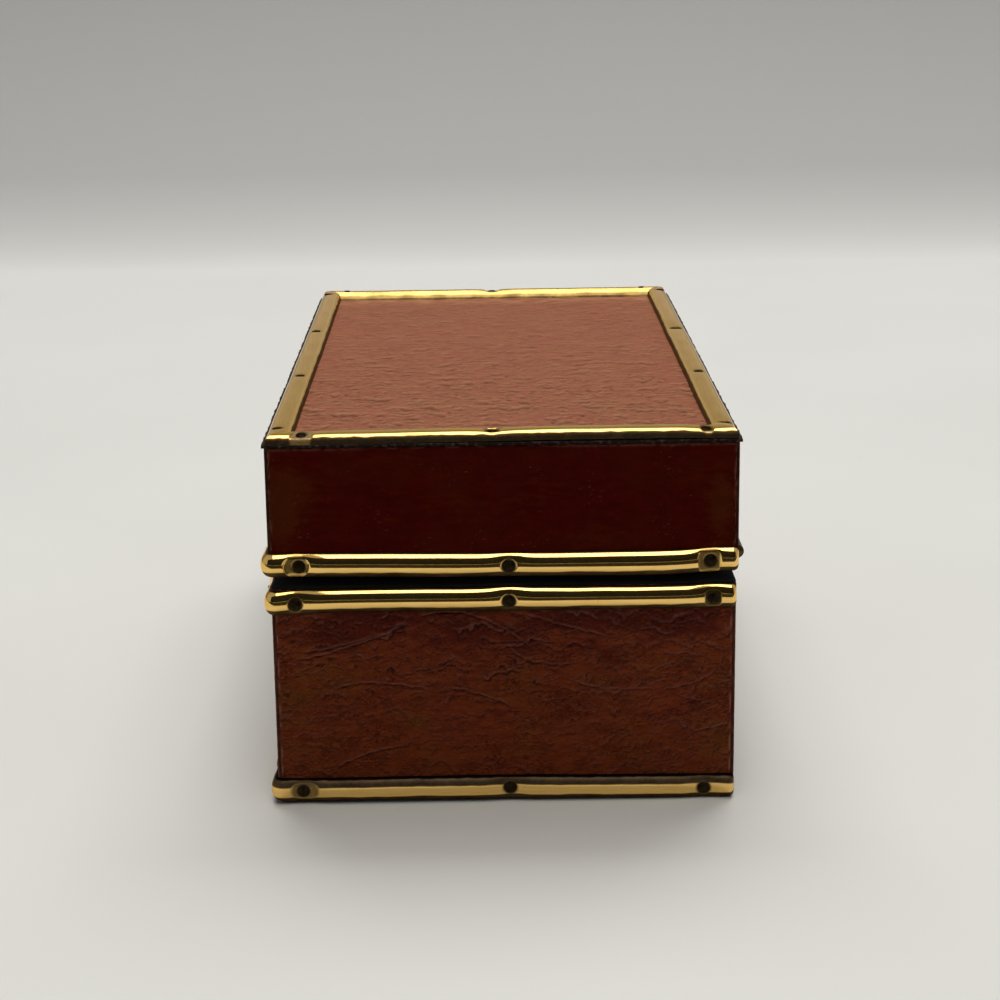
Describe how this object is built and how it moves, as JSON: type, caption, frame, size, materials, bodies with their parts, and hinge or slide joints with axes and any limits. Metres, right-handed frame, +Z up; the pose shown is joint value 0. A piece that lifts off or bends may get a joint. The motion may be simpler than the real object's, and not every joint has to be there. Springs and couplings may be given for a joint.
{
  "type": "trinket box",
  "caption": "Small leather-covered wooden box with a hinged lid, brass half-round trim held by domed nails, and a felt-lined hollow for papers and keepsakes.",
  "frame": {"origin": "centre of the underside, on the surface that the box stands on", "axes": "+Z up, +X across the width towards the hinge side, +Y along the length towards the far end"},
  "size_m": [0.0948, 0.1738, 0.0747],
  "materials": {
    "wood": "bare sawn board",
    "leather_lid": "smooth oxblood leather with fine creases",
    "leather_top": "worn brown leather with fine wrinkles",
    "leather_base": "creased red-brown leather",
    "brass_strip": "polished and tarnished brass strip",
    "nail": "dark domed nail heads",
    "hinge_brass": "darkened brass",
    "black_lining": "black cloth lining",
    "felt": "black felt"
  },
  "bodies": {
    "base": {"base_back_board": "wood", "base_back_leather": "leather_base", "base_back_liner": "felt", "base_far_end_board": "wood", "base_far_end_leather": "leather_base", "base_far_end_liner": "felt", "base_floor_board": "wood", "base_floor_pad": "felt", "base_foot_strip": "brass_strip", "base_foot_strip_nails": "nail", "base_front_board": "wood", "base_front_leather": "leather_base", "base_front_liner": "felt", "base_near_end_board": "wood", "base_near_end_leather": "leather_base", "base_near_end_liner": "felt", "base_rim_lining": "black_lining", "base_rim_strip": "brass_strip", "base_rim_strip_nails": "nail", "base_underside_felt": "felt", "hinge_base_nails": "hinge_brass", "hinge_far_base_leaf": "hinge_brass", "hinge_far_pin": "hinge_brass", "hinge_near_base_leaf": "hinge_brass", "hinge_near_pin": "hinge_brass"},
    "lid": {"hinge_far_lid_leaf": "hinge_brass", "hinge_lid_nails": "hinge_brass", "hinge_near_lid_leaf": "hinge_brass", "lid_back_board": "wood", "lid_back_leather": "leather_lid", "lid_back_liner": "felt", "lid_ceiling_pad": "felt", "lid_far_end_board": "wood", "lid_far_end_leather": "leather_lid", "lid_far_end_liner": "felt", "lid_front_board": "wood", "lid_front_leather": "leather_lid", "lid_front_liner": "felt", "lid_near_end_board": "wood", "lid_near_end_leather": "leather_lid", "lid_near_end_liner": "felt", "lid_rim_lining": "black_lining", "lid_rim_strip": "brass_strip", "lid_rim_strip_nails": "nail", "lid_top_board": "wood", "lid_top_leather": "leather_top", "lid_top_strip_back": "brass_strip", "lid_top_strip_far": "brass_strip", "lid_top_strip_front": "brass_strip", "lid_top_strip_nails": "nail", "lid_top_strip_near": "brass_strip"}
  },
  "joints": [
    {"name": "lid_hinge", "type": "hinge", "parent": "base", "child": "lid", "pos_m": [0.04665, 0, 0.04535], "axis": [0, 1, 0], "range_deg": [0, 185]}
  ]
}
